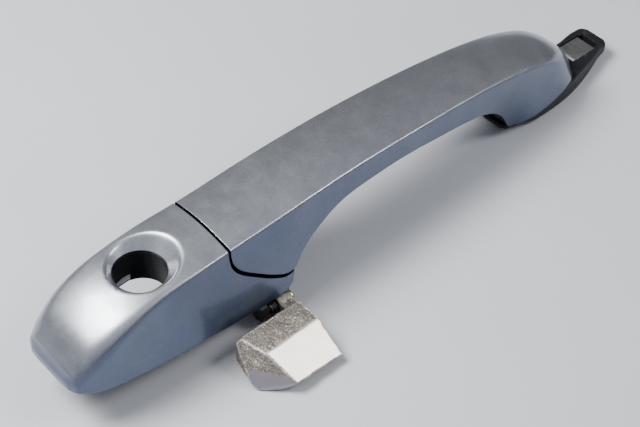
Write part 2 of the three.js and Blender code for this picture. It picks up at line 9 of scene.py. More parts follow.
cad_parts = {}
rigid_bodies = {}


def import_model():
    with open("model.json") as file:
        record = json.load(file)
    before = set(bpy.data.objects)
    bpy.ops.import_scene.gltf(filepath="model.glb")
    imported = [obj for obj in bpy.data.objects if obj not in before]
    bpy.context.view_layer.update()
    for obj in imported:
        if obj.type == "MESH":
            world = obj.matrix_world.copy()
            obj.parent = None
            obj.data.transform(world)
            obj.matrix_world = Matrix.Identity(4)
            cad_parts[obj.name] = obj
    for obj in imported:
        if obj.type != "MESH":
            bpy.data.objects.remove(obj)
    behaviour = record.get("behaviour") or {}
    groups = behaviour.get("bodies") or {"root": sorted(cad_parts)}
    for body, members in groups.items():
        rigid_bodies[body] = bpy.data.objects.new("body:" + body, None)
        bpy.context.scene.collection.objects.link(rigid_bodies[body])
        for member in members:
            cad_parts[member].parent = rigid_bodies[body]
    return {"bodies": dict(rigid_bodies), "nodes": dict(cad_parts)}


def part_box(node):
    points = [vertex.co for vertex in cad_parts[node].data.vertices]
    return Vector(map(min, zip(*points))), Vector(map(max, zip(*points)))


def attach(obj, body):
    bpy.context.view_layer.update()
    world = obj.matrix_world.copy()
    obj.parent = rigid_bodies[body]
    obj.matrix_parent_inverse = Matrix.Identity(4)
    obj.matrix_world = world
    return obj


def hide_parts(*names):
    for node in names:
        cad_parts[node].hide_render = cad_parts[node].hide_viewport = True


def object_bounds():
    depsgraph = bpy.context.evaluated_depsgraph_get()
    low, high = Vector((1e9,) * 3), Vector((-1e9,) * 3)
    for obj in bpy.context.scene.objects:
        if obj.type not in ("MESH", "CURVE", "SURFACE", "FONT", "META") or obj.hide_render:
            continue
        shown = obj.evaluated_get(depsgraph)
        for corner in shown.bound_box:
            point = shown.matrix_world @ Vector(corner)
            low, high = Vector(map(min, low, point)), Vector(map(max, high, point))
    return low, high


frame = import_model()
CAD_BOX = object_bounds()

# Lengths below are millimetres. X = 0 is the seam between cap and grip, Z = 0 the door plane.
MM = 0.001
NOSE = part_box("grip_shell")[1].x / MM
CAP_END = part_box("cap_shell")[0].x / MM
WALL = 2.4
FLARE_POWER = 1.3  # how late the side faces sweep out towards the door
FAR = 60  # reach of a cutting tool past the object
BELOW = 15  # reach of a cutting tool under the door plane

LOCK = (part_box("lock_sleeve")[0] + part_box("lock_sleeve")[1]) / (2 * MM)
LOCK_BORE = 9.2
LOCK_RIM_Z = 24
RECESS_SLOPE = 0.94  # growth of the recess radius per millimetre of height
SLEEVE_OUTER = 10.6
SLEEVE_BOTTOM = 13.5
LUG_HALF = 3.6
LUG_LEVEL = (15.2, 16.7)
FLANGE_RADIUS = 12.2
CUP_BOTTOM = 17
END_WALL = -3
TONGUE_FRONT = 19.2
TONGUE_HOLLOW_TOP = 10
SEAT_HALF = (4.3, 16.8)
SEAT_TOP = 3.3
SEAM_SHIFT = np.array([1.0, 0.9])  # from the cap's side of the seam to the grip's
FOOT_REAR = 140.6
FOOT_RIM_START = 145
FOOT_RIM_RUN = 27
FOOT_RIM_LOW = 1.1
FOOT_RIM_HIGH = 6
ARM_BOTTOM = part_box("pivot_arm")[0].z / MM
ARM_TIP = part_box("pivot_arm")[1].x / MM
ARM_ROOT = 147
WINDOW_HALF = 10
WINDOW_LEVEL = (8, 26)
GAP = 0.3
CRANK_SWING = math.radians(52)


# ---------------------------------------------------------------- smooth tables

def spline(points):
    """Natural cubic curve through (x, y) points, as a function of x."""
    xs, ys = np.array(points, float).T
    count = len(xs)
    step = np.diff(xs)
    a = np.zeros((count, count))
    b = np.zeros(count)
    a[0, 0] = a[-1, -1] = 1
    for i in range(1, count - 1):
        a[i, i - 1:i + 2] = step[i - 1], 2 * (step[i - 1] + step[i]), step[i]
        b[i] = 6 * ((ys[i + 1] - ys[i]) / step[i] - (ys[i] - ys[i - 1]) / step[i - 1])
    m = np.linalg.solve(a, b)

    def value(x):
        x = min(max(x, xs[0]), xs[-1])
        i = int(min(max(np.searchsorted(xs, x) - 1, 0), count - 2))
        h, t, u = step[i], x - xs[i], xs[i + 1] - x
        bend = (m[i] * u ** 3 + m[i + 1] * t ** 3) / (6 * h)
        return bend + (ys[i] / h - m[i] * h / 6) * u + (ys[i + 1] / h - m[i + 1] * h / 6) * t

    return value


def curve_through(points, count):
    """count points along a smooth plane curve through the given ones."""
    p = np.array(points, float)
    along = np.concatenate([[0], np.cumsum(np.linalg.norm(np.diff(p, axis=0), axis=1))])
    fx = spline(list(zip(along, p[:, 0])))
    fy = spline(list(zip(along, p[:, 1])))
    return [(fx(t), fy(t)) for t in np.linspace(0, along[-1], count)]


crease_height = spline([
    (-62.6, 4.4), (-61.8, 6.4), (-60, 9), (-58, 11.3), (-55, 14.4), (-50.5, 17.7), (-42.5, 21.9), (-33, 24.8),
    (-23.5, 26.4), (-12, 27.4), (0, 28.1), (30, 30.5), (60, 32.1), (90, 31.9), (120, 30.4), (145, 27.1),
    (160, 23.7), (172, 18.9), (178, 14.1), (182, 10), (184.6, 6.9)])
crease_half_width = spline([
    (-62.6, 5), (-62.4, 8.3), (-61.9, 10.7), (-61.2, 12.2), (-60, 13.3), (-58, 14.2), (-55, 15), (-50, 15.9),
    (-44, 16.1), (-36, 15.8), (-28, 15.4), (-15, 15.2), (0, 14.8), (20, 14.8), (50, 14.5), (90, 14),
    (130, 13.1), (155, 12.5), (166, 11.4), (174, 9.2), (180, 6), (183, 3.4), (184.6, 1.5)])
base_half_width = spline([
    (-62.6, 5.6), (-62.4, 9), (-61.9, 11.5), (-61.2, 13.1), (-60, 14.3), (-58, 15.1), (-55, 15.8),
    (-51.5, 16.5), (-43, 17.9), (-31, 19.2), (-16, 20.2), (5, 20.9), (20, 20.7), (30, 19.8), (60, 16.6),
    (100, 15), (130, 13.2), (140.5, 12.2), (145, 13.4), (150, 15.1), (158, 16.1), (168, 16.3), (175, 15.9),
    (180, 14.1), (182.6, 11.6), (184, 8.4), (184.6, 5.4)])
# Rise of the top face between its crease lines.
crown_rise = spline([
    (-62.6, 1.4), (-58, 2.2), (-50, 2.4), (150, 2.4), (166, 2.3), (176, 1.5), (184.6, 0.6)])
cap_underside = spline([
    (-62.6, 3), (-60, 2.6), (-57, 1.6), (-54, 0.6), (-50, 0)])
arch_height = spline([
    (24, 4.5), (27, 8), (30, 11.2), (34, 14.2), (40, 17.4), (46, 20), (53, 21.7), (64, 22.5), (76, 22.9),
    (88, 22.4), (102, 21.2), (116, 19.6), (125, 17), (131.5, 13), (136.8, 7.2), (FOOT_REAR, FOOT_RIM_LOW)])
# Radius of the edge between the top face and the side faces.
crease_radius = spline([
    (-62.6, 2.5), (-58, 4.6), (-50, 5), (-40, 3.6), (-28, 2.0), (-14, 1.1), (10, 0.8), (60, 0.7),
    (120, 0.8), (145, 1.2), (160, 2.4), (172, 5), (184.6, 5)])
SEAM = curve_through([(-0.6, 24.5), (0, 21), (2, 17.6), (7.6, 13), (14.3, 8.5), (18.2, 6.4), (21.7, 5.2),
                      (24.8, 5.6)], 48)


def foot_rim(x):
    share = min(max((x - FOOT_RIM_START) / FOOT_RIM_RUN, 0), 1)
    return FOOT_RIM_LOW + (FOOT_RIM_HIGH - FOOT_RIM_LOW) * share


def grip_underside(x):
    return arch_height(x) if x < FOOT_REAR else foot_rim(x)


def hollow_underside(x):
    if x > FOOT_REAR + WALL + 0.2:
        return ARM_BOTTOM - 2
    half = WALL / 2
    return half + max(arch_height(x - WALL), arch_height(x + WALL), arch_height(x) + half)


# ---------------------------------------------------------------- mesh helpers

def new_object(name, mesh):
    o = bpy.data.objects.new(name, mesh)
    bpy.context.scene.collection.objects.link(o)
    return o


def mesh_object(name, verts, faces):
    """A closed mesh from millimetre points, its faces turned outwards."""
    mesh = bpy.data.meshes.new(name)
    mesh.from_pydata([Vector(v) * MM for v in verts], [], faces)
    bm = bmesh.new()
    bm.from_mesh(mesh)
    bmesh.ops.recalc_face_normals(bm, faces=bm.faces)
    if bm.calc_volume(signed=True) < 0:
        bmesh.ops.reverse_faces(bm, faces=bm.faces)
    bm.to_mesh(mesh)
    bm.free()
    return new_object(name, mesh)


def loft(name, rings):
    """Closed body through rings of equal length."""
    count = len(rings[0])
    verts = [p for ring in rings for p in ring]
    faces = []
    for i in range(len(rings) - 1):
        for j in range(count):
            k = (j + 1) % count
            faces.append((i * count + j, i * count + k, (i + 1) * count + k, (i + 1) * count + j))
    faces.append(tuple(range(count)))
    last = (len(rings) - 1) * count
    faces.append(tuple(last + j for j in range(count)))
    return mesh_object(name, verts, faces)


def prism(outline, low, high, place):
    """Straight prism; place(u, v, w) gives the point for outline (u, v) at height w."""
    rings = [[place(u, v, w) for u, v in outline] for w in (low, high)]
    return loft("tool", rings)


def side_prism(outline, y):
    return prism(outline, y[0], y[1], lambda u, v, w: (u, w, v))


def plan_prism(outline, z):
    return prism(outline, z[0], z[1], lambda u, v, w: (u, v, w))


def block(x, y, z):
    return plan_prism([(x[0], y[0]), (x[1], y[0]), (x[1], y[1]), (x[0], y[1])], z)


def turned(name, profile, x, y, segments=64):
    """Body of revolution about a vertical line; profile is (radius, z) from bottom axis to top axis."""
    rings = []
    for r, z in profile:
        r = max(r, 1e-3)
        angles = [2 * math.pi * i / segments for i in range(segments)]
        rings.append([(x + r * math.cos(t), y + r * math.sin(t), z) for t in angles])
    return loft(name, rings)


def turned_x(name, profile, y, z, segments=48):
    """Body of revolution about a line along X; profile is (radius, x)."""
    rings = []
    for r, x in profile:
        r = max(r, 1e-3)
        angles = [2 * math.pi * i / segments for i in range(segments)]
        rings.append([(x, y + r * math.cos(t), z + r * math.sin(t)) for t in angles])
    return loft(name, rings)


def post(radius, x, y, z, segments=64):
    return turned("tool", [(radius, z[0]), (radius, z[1])], x, y, segments)


def combine(body, tool, operation, keep=False):
    """Boolean of body with tool, applied at once."""
    modifier = body.modifiers.new("combine", "BOOLEAN")
    modifier.object = tool
    modifier.operation = operation
    modifier.solver = "MANIFOLD"
    depsgraph = bpy.context.evaluated_depsgraph_get()
    result = bpy.data.meshes.new_from_object(body.evaluated_get(depsgraph))
    body.modifiers.clear()
    body.data = result
    if not keep:
        bpy.data.objects.remove(tool)
    return body


def cut(body, *tools):
    for tool in tools:
        combine(body, tool, "DIFFERENCE")
    return body


def join(body, *tools):
    for tool in tools:
        combine(body, tool, "UNION")
    return body


def duplicate(o):
    return new_object(o.name + "_copy", o.data.copy())


def node_copy(node, name):
    """A CAD node's mesh as a clean copy: welded, with its flat faces in one piece."""
    o = new_object(name, frame["nodes"][node].data.copy())
    o.data.materials.clear()
    bm = bmesh.new()
    bm.from_mesh(o.data)
    bmesh.ops.remove_doubles(bm, verts=bm.verts, dist=2e-6)
    bmesh.ops.dissolve_limit(bm, angle_limit=math.radians(0.6), verts=bm.verts, edges=bm.edges)
    bm.to_mesh(o.data)
    bm.free()
    return o


def soften(o, width, segments=3, angle=28):
    """Rounds every edge sharper than angle."""
    modifier = o.modifiers.new("edge", "BEVEL")
    modifier.width = width * MM
    modifier.segments = segments
    modifier.limit_method = "ANGLE"
    modifier.angle_limit = math.radians(angle)
    modifier.use_clamp_overlap = True
    return o


def shade(o, angle=32):
    o.data.polygons.foreach_set("use_smooth", [True] * len(o.data.polygons))
    o.data.set_sharp_from_angle(angle=math.radians(angle))
    return o


def finish_piece(o, name, material, body, slot, *nodes):
    o.name = name
    o.data.name = name
    o.data.materials.clear()
    o.data.materials.append(material)
    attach(o, body)
    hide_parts(*nodes)
    return o


def middle(node):
    """Middle of a CAD node's box, in millimetres."""
    low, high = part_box(node)
    return [(a + b) / 2 / MM for a, b in zip(low, high)]


# ---------------------------------------------------------------- outer form

def meet(p, d, q, e):
    """Where the line from p along d meets the line from q along e."""
    cross = d[0] * e[1] - d[1] * e[0]
    if abs(cross) < 1e-6:
        return (p + q) / 2
    t = ((q[0] - p[0]) * e[1] - (q[1] - p[1]) * e[0]) / cross
    return p + d * t


def section(x, underside, inset, side_steps, crown_steps, round_steps):
    """Cross-section at x as (y, z) points: up the far side, over the crown and down the near side."""
    top = crease_height(x) - inset
    half = max(crease_half_width(x) - inset, 0.2)
    base = max(base_half_width(x) - inset, 0.3)
    bottom = min(underside(x), top - 0.3)

    def side(z):
        return np.array([half + (base - half) * max(1 - z / top, 0) ** FLARE_POWER, z])

    def crown(y):
        return np.array([y, top + crown_rise(x) * (1 - (y / half) ** 2)])

    radius = max(crease_radius(x) - inset * 0.5, 0.3)
    low = top - min(radius, 0.6 * (top - bottom))
    inner = half - min(radius, 0.6 * half)
    a, b = side(low), crown(inner)
    corner = meet(a, side(low) - side(low - 0.01), b, crown(inner) - crown(inner - 0.01))
    far = [side(z) for z in np.linspace(bottom, low, side_steps)]
    for t in np.linspace(0, 1, round_steps)[1:-1]:
        far.append((1 - t) ** 2 * a + 2 * t * (1 - t) * corner + t ** 2 * b)
    middle = [crown(y) for y in np.linspace(inner, -inner, crown_steps)]
    near = [np.array([-p[0], p[1]]) for p in reversed(far)]
    return far + middle + near


def body_loft(name, xs, underside, inset=0, side_steps=16, crown_steps=40, round_steps=8, change=None):
    rings = []
    for x in xs:
        ring = [(x, p[0], p[1]) for p in section(x, underside, inset, side_steps, crown_steps, round_steps)]
        rings.append([change(p) for p in ring] if change else ring)
    return loft(name, rings)


def steps(start, end, step):
    return list(np.linspace(start, end, max(2, int(round((end - start) / step)) + 1)))


DISH_BLEND = 0.7  # height over which the recess rolls into the top face


def dish(point):
    """Sinks the conical recess round the lock into the top face, with a rolled lip."""
    x, y, z = point
    radius = max(math.hypot(x - LOCK.x, y - LOCK.y), LOCK_BORE - 0.8)
    cone = LOCK_RIM_Z + (radius - LOCK_BORE) / RECESS_SLOPE
    if z < LOCK_RIM_Z - 6 or radius > 26:
        return point
    h = max(DISH_BLEND - abs(z - cone), 0) / DISH_BLEND
    return (x, y, min(z, cone) - h * h * DISH_BLEND / 4)


def seam_line(shift):
    return [(x + shift[0], z + shift[1]) for x, z in SEAM]


def above_seam(shift):
    """Cutter that keeps the grip's side of the seam."""
    line = seam_line(shift)
    behind = [(line[-1][0], -BELOW), (5 * FAR, -BELOW), (5 * FAR, FAR)]
    return side_prism([(line[0][0], FAR)] + line + behind, (-FAR, FAR))


def below_seam():
    """Cutter that keeps the cap's side of the seam, with the bevelled end of its tongue."""
    line = seam_line((0, 0))[::-1]
    tongue_end = [(20.9, -BELOW), (20.9, 0), (23.6, 2.2)]
    behind = [(line[-1][0], FAR), (-2 * FAR, FAR), (-2 * FAR, -BELOW)]
    return side_prism(tongue_end + line + behind, (-FAR, FAR))


# ---------------------------------------------------------------- materials

class Look:
    """A node-built material round one Principled shader."""

    def __init__(self, name):
        self.material = bpy.data.materials.new(name)
        self.material.use_nodes = True
        self.tree = self.material.node_tree
        self.tree.nodes.clear()
        out = self.tree.nodes.new("ShaderNodeOutputMaterial")
        self.shader = self.tree.nodes.new("ShaderNodeBsdfPrincipled")
        self.tree.links.new(self.shader.outputs[0], out.inputs[0])
        coords = self.tree.nodes.new("ShaderNodeTexCoord")
        self.place = coords.outputs["Object"]
        self.facing = coords.outputs["Normal"]

    def put(self, socket, value):
        if isinstance(value, bpy.types.NodeSocket):
            self.tree.links.new(value, socket)
        else:
            socket.default_value = value

    def set(self, **inputs):
        for key, value in inputs.items():
            self.put(self.shader.inputs[key.replace("_", " ")], value)

    def stretched(self, x, y, z):
        """Object coordinates scaled along each axis."""
        node = self.tree.nodes.new("ShaderNodeMapping")
        self.put(node.inputs["Vector"], self.place)
        node.inputs["Scale"].default_value = (x, y, z)
        return node.outputs[0]

    def noise(self, scale, detail=3, roughness=0.55, vector=None):
        node = self.tree.nodes.new("ShaderNodeTexNoise")
        self.put(node.inputs["Vector"], vector or self.place)
        node.inputs["Scale"].default_value = scale
        node.inputs["Detail"].default_value = detail
        node.inputs["Roughness"].default_value = roughness
        return node.outputs[0]

    def cells(self, scale):
        """Distance from the middle of the nearest of many small cells."""
        node = self.tree.nodes.new("ShaderNodeTexVoronoi")
        self.put(node.inputs["Vector"], self.place)
        node.inputs["Scale"].default_value = scale
        return node.outputs["Distance"]

    def specks(self, scale):
        """One grey value for each of many small cells."""
        node = self.tree.nodes.new("ShaderNodeTexVoronoi")
        self.put(node.inputs["Vector"], self.place)
        node.inputs["Scale"].default_value = scale
        return self.component(node.outputs["Color"], 0)

    def span(self, value, low, high, a=0.0, b=1.0):
        node = self.tree.nodes.new("ShaderNodeMapRange")
        node.interpolation_type = "SMOOTHSTEP"
        self.put(node.inputs["Value"], value)
        for key, number in (("From Min", low), ("From Max", high), ("To Min", a), ("To Max", b)):
            node.inputs[key].default_value = number
        return node.outputs[0]

    def maths(self, operation, a, b):
        node = self.tree.nodes.new("ShaderNodeMath")
        node.operation = operation
        self.put(node.inputs[0], a)
        self.put(node.inputs[1], b)
        return node.outputs[0]

    def mix(self, factor, a, b, kind="MIX"):
        node = self.tree.nodes.new("ShaderNodeMix")
        node.data_type = "RGBA"
        node.blend_type = kind
        self.put(node.inputs["Factor"], factor)
        self.put(node.inputs[6], a)
        self.put(node.inputs[7], b)
        return node.outputs[2]

    def component(self, vector, axis):
        node = self.tree.nodes.new("ShaderNodeSeparateXYZ")
        self.put(node.inputs[0], vector)
        return node.outputs[axis]

    def attribute(self, name):
        node = self.tree.nodes.new("ShaderNodeAttribute")
        node.attribute_name = name
        return node.outputs["Fac"]

    def rounded(self, radius):
        node = self.tree.nodes.new("ShaderNodeBevel")
        node.samples = 6
        node.inputs["Radius"].default_value = radius * MM
        return node.outputs[0]

    def bump(self, height, strength, depth, normal=None):
        node = self.tree.nodes.new("ShaderNodeBump")
        node.inputs["Strength"].default_value = strength
        node.inputs["Distance"].default_value = depth * MM
        self.put(node.inputs["Height"], height)
        if normal is not None:
            self.put(node.inputs["Normal"], normal)
        return node.outputs[0]


def rgb(r, g, b):
    return (r, g, b, 1.0)


def paint_look():
    """Silver-blue metallic paint under clear coat. The sides are painted darker and bluer than the top, as
    painted shade and painted reflection; faces whose seam attribute is 1 are painted black, as painted shade
    in the seam gap.
    """
    look = Look("paint")
    # Faces turned sideways are painted dark blue and faces turned up light silver: painted shade and painted
    # reflection, not a change in the paint.
    up = look.component(look.facing, 2)
    flake = look.specks(2600)
    base = look.mix(look.span(up, 0.25, 0.75), rgb(0.055, 0.078, 0.145), rgb(0.40, 0.425, 0.47))
    cloud = look.noise(55, 4)
    base = look.mix(look.span(cloud, 0.35, 0.7, 0.0, 0.14), base, look.mix(0.5, base, rgb(0.36, 0.37, 0.40)))
    base = look.mix(0.10, base, flake, "OVERLAY")
    scratch = look.noise(900, 2, 0.5, look.stretched(0.06, 1.0, 1.0))
    scuff = look.maths("MULTIPLY", look.span(scratch, 0.66, 0.74), look.span(look.noise(60, 3), 0.55, 0.72))
    base = look.mix(look.maths("MULTIPLY", scuff, 0.35), base, rgb(0.62, 0.64, 0.66))
    rough = look.span(look.noise(120, 5), 0.3, 0.75, 0.31, 0.40)
    peel = look.bump(look.noise(260, 2), 0.10, 0.05, look.rounded(0.35))
    normal = look.bump(look.cells(2600), 0.05, 0.02, peel)
    # Faces cut along the seam are painted black: painted shade in the gap between cap and grip.
    seam_shade = look.attribute("seam_shade")
    painted = look.maths("SUBTRACT", 1.0, seam_shade)
    look.set(Base_Color=look.mix(seam_shade, base, rgb(0.006, 0.006, 0.007)),
             Metallic=look.maths("MULTIPLY", painted, 0.82),
             Roughness=look.maths("ADD", rough, look.maths("MULTIPLY", scuff, 0.2)),
             Normal=normal,
             Coat_Weight=look.maths("MULTIPLY", painted, 0.8),
             Coat_Roughness=0.09,
             Specular_IOR_Level=look.maths("MULTIPLY", painted, 0.5))
    look.put(look.shader.inputs["Coat Normal"], peel)
    return look.material


def nylon_look():
    """Black glass-filled moulding: fine grain, slightly grey where it has rubbed."""
    look = Look("black_nylon")
    grain = look.noise(2400, 3)
    rub = look.span(look.noise(150, 5, 0.7), 0.55, 0.8)
    base = look.mix(rub, rgb(0.011, 0.011, 0.014), rgb(0.045, 0.042, 0.045))
    look.set(Base_Color=base, Roughness=look.span(grain, 0.3, 0.7, 0.42, 0.62), Specular_IOR_Level=0.4,
             Normal=look.bump(grain, 0.25, 0.06, look.rounded(0.3)))
    return look.material


def rubber_look():
    """Soft black rubber with a dusty bloom."""
    look = Look("soft_black")
    dust = look.span(look.noise(220, 6, 0.7), 0.5, 0.85)
    base = look.mix(dust, rgb(0.010, 0.010, 0.011), rgb(0.06, 0.058, 0.055))
    look.set(Base_Color=base, Roughness=look.span(dust, 0.0, 1.0, 0.72, 0.92), Specular_IOR_Level=0.25,
             Normal=look.bump(look.noise(1500, 4), 0.3, 0.08))
    return look.material


def casting_look():
    """Grey zinc casting with a grainy skin.

    The attribute "worked" is 1 where a face is smooth and bright, and "worn" is 1 along rubbed edges.
    """
    look = Look("cast_zinc")
    worked = look.attribute("worked")
    grit = look.noise(1700, 6, 0.7)
    speck = look.specks(2400)
    patch = look.noise(130, 4, 0.6)
    skin = look.mix(look.span(grit, 0.33, 0.68), rgb(0.125, 0.105, 0.09), rgb(0.53, 0.48, 0.415))
    skin = look.mix(look.span(patch, 0.35, 0.7, 0.0, 0.4), skin, rgb(0.30, 0.28, 0.265))
    skin = look.mix(look.span(speck, 0.93, 0.97, 0.0, 0.8), skin, rgb(0.90, 0.88, 0.84))
    rubbed = look.maths("MULTIPLY", look.attribute("worn"), look.span(grit, 0.3, 0.6))
    skin = look.mix(rubbed, skin, rgb(0.84, 0.80, 0.76))
    smooth = look.mix(look.span(patch, 0.35, 0.7), rgb(0.93, 0.87, 0.78), rgb(0.98, 0.95, 0.89))
    # Faces that are only half smooth take a dark purple-grey: a smoother face, with painted shade and painted
    # reflection in its colour.
    smooth = look.mix(look.span(worked, 0.75, 0.95), rgb(0.36, 0.34, 0.38), smooth)
    rough = look.mix(worked, look.span(grit, 0.3, 0.75, 0.62, 0.34), rgb(0.36, 0.36, 0.36))
    height = look.maths("ADD", grit, look.maths("MULTIPLY", look.noise(2600, 3), 0.35))
    strength = look.maths("SUBTRACT", 0.95, look.maths("MULTIPLY", worked, 0.88))
    bump = look.tree.nodes.new("ShaderNodeBump")
    bump.inputs["Distance"].default_value = 0.22 * MM
    look.put(bump.inputs["Strength"], strength)
    look.put(bump.inputs["Height"], height)
    look.set(Base_Color=look.mix(look.span(worked, 0.1, 0.6), skin, smooth),
             Metallic=look.maths("SUBTRACT", 0.85, look.maths("MULTIPLY", worked, 0.15)),
             Roughness=rough,
             Normal=bump.outputs[0])
    return look.material


def bare_metal_look(name, tint, shade_tint, rough_low, rough_high, grain=(1.0, 0.08, 1.0)):
    """Brushed or plated metal with streaks along one axis."""
    look = Look(name)
    streak = look.noise(1400, 4, 0.6, look.stretched(*grain))
    stain = look.noise(180, 5, 0.65)
    base = look.mix(look.span(stain, 0.35, 0.75), tint, shade_tint)
    look.set(Base_Color=base, Metallic=1.0, Roughness=look.span(streak, 0.3, 0.7, rough_low, rough_high),
             Normal=look.bump(streak, 0.12, 0.05, look.rounded(0.2)))
    return look.material


PAINT = paint_look()
NYLON = nylon_look()
RUBBER = rubber_look()
CASTING = casting_look()
PLATE = bare_metal_look("plate_metal", rgb(0.62, 0.62, 0.60), rgb(0.50, 0.49, 0.46), 0.34, 0.46)
STEEL = bare_metal_look("plated_steel", rgb(0.60, 0.60, 0.60), rgb(0.42, 0.42, 0.43), 0.26, 0.40)
# Near-black steel for the spring under the cap: painted shade.
SHADE_DARK_STEEL = bare_metal_look("steel_darkened_as_shade", rgb(0.10, 0.10, 0.105), rgb(0.05, 0.05, 0.052), 0.32, 0.48)
YELLOW = bare_metal_look("yellow_plated", rgb(0.72, 0.66, 0.40), rgb(0.50, 0.42, 0.22), 0.24, 0.38)


def mark_seam_faces(o, shift):
    """Gives the faces cut along the seam the value 1 in a face attribute that paints them black, as painted
    shade in the seam gap.
    """
    line = seam_line(shift)
    line = np.array([(line[0][0], FAR)] + line)
    starts, runs = line[:-1], np.diff(line, axis=0)
    lengths = (runs ** 2).sum(1)
    values = np.zeros(len(o.data.polygons), np.float32)
    for i, face in enumerate(o.data.polygons):
        at = np.array([face.center.x, face.center.z]) / MM
        along = np.clip(((at - starts) * runs).sum(1) / lengths, 0, 1)
        away = np.linalg.norm(at - starts - along[:, None] * runs, axis=1).min()
        if away < 0.06 and abs(face.normal.y) < 0.03:
            values[i] = 1
    o.data.attributes.new("seam_shade", "FLOAT", "FACE").data.foreach_set("value", values)


# ---------------------------------------------------------------- cap

cap = body_loft("cap", steps(CAP_END, -58, 0.2) + steps(-57.5, 27, 0.7), cap_underside, 0, 22, 56, 10, dish)
cap_form = duplicate(cap)
combine(cap, below_seam(), "INTERSECT")
hollow = body_loft("hollow", steps(CAP_END + WALL, END_WALL, 2), lambda x: -2, WALL, 8, 12, 4)
tongue = body_loft("tongue", steps(END_WALL - 0.1, TONGUE_FRONT, 2), lambda x: -2, WALL, 8, 12, 4)
combine(tongue, block((END_WALL - 1, FAR), (-FAR, FAR), (-FAR, TONGUE_HOLLOW_TOP)), "INTERSECT")
cut(cap, hollow, tongue)
cup_radius = SLEEVE_OUTER + 2.3
cup_profile = [(0, CUP_BOTTOM), (cup_radius, CUP_BOTTOM), (cup_radius, LOCK_RIM_Z),
               (cup_radius + 7 * RECESS_SLOPE, LOCK_RIM_Z + 7), (0, LOCK_RIM_Z + 7)]
bosses = [turned("cup", cup_profile, LOCK.x, LOCK.y, 96)]
for node in ("sleeve_screw_1", "sleeve_screw_2"):
    x, y, _ = middle(node)
    bosses.append(post(3.2, x, y, (CUP_BOTTOM, 28)))
for node in ("carrier_screw_1", "carrier_screw_2"):
    x, y, _ = middle(node)
    bosses.append(post(3, x, y, (SEAT_TOP, 18)))
for boss in bosses:
    combine(boss, cap_form, "INTERSECT", keep=True)
    join(cap, boss)
bpy.data.objects.remove(cap_form)
cut(cap, post(LOCK_BORE, LOCK.x, LOCK.y, (LOCK_RIM_Z - 1, 36), 128),
    post(SLEEVE_OUTER + GAP, LOCK.x, LOCK.y, (0, LOCK_RIM_Z - 0.6), 128),
    block((-SEAT_HALF[0], SEAT_HALF[0]), (-SEAT_HALF[1], SEAT_HALF[1]), (-1, SEAT_TOP)))
mark_seam_faces(cap, (0, 0))
finish_piece(shade(cap), "cap_skin", PAINT, "cap", "paint", "cap_shell")

# Black sleeve in the recess: its lower rim drops on the grip's side, and a lug each side takes a screw.
sleeve_profile = [(0, SLEEVE_BOTTOM - 3), (SLEEVE_OUTER, SLEEVE_BOTTOM - 3), (SLEEVE_OUTER, LOCK_RIM_Z - 0.9),
                  (0, LOCK_RIM_Z - 0.9)]
sleeve = turned("sleeve", sleeve_profile, LOCK.x, LOCK.y, 128)
rest = block((LOCK.x - 20, LOCK.x + 20), (-20, 20), (0, SLEEVE_BOTTOM))
cut(rest, block((LOCK.x + 2, LOCK.x + SLEEVE_OUTER + 1), (-7, 9), (-1, SLEEVE_BOTTOM + 1)))
cut(sleeve, rest)
join(sleeve, block((LOCK.x - 20, LOCK.x + 20), (-LUG_HALF, LUG_HALF), LUG_LEVEL),
     post(FLANGE_RADIUS, LOCK.x, LOCK.y, LUG_LEVEL, 128))
cut(sleeve, post(LOCK_BORE, LOCK.x, LOCK.y, (0, 40), 128))
finish_piece(shade(sleeve), "lock_ring", NYLON, "cap", "black_nylon", "lock_sleeve")


def ring_body(name, node, tube, major_steps=96, minor_steps=16):
    """Round ring with a round section of radius tube, as wide as the node."""
    low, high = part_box(node)
    centre = (low + high) / (2 * MM)
    major = (high.x - low.x) / (2 * MM) - tube
    rings = []
    for i in range(minor_steps):
        t = 2 * math.pi * i / minor_steps
        r, z = major + tube * math.cos(t), centre.z + tube * math.sin(t)
        rings.append([(centre.x + r * math.cos(a), centre.y + r * math.sin(a), z)
                      for a in np.linspace(0, 2 * math.pi, major_steps, endpoint=False)])
    verts = [p for ring in rings for p in ring]
    faces = []
    for i in range(minor_steps):
        k = (i + 1) % minor_steps
        for j in range(major_steps):
            n = (j + 1) % major_steps
            faces.append((i * major_steps + j, i * major_steps + n, k * major_steps + n, k * major_steps + j))
    return mesh_object(name, verts, faces)


seal = shade(ring_body("seal", "sleeve_seal", 0.7))
finish_piece(seal, "sleeve_oring", RUBBER, "cap", "soft_black", "sleeve_seal")


def base_outline(start, end, inset, count=60):
    """Plan outline of the base between two stations, drawn in by inset."""
    near = [(x, -(base_half_width(x) - inset)) for x in np.linspace(start, end, count)]
    return near + [(x, -y) for x, y in reversed(near)]


gasket_low, gasket_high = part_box("cap_gasket")
g0, g1 = gasket_low.x / MM, gasket_high.x / MM
gasket = plan_prism(base_outline(g0, g1, 0.9), (gasket_low.z / MM, gasket_high.z / MM))
cut(gasket, plan_prism(base_outline(g0 + 1.6, g1 + 1, 2.3), (-5, 5)))
finish_piece(shade(soften(gasket, 0.2, 2)), "base_gasket", RUBBER, "cap", "soft_black", "cap_gasket")

carrier = soften(node_copy("cap_carrier", "carrier"), 0.4)
finish_piece(shade(carrier), "carrier_frame", NYLON, "cap", "black_nylon", "cap_carrier")
clip = soften(node_copy("cap_clip", "clip"), 0.15)
finish_piece(shade(clip), "spring_clip", STEEL, "cap", "plated_steel", "cap_clip")


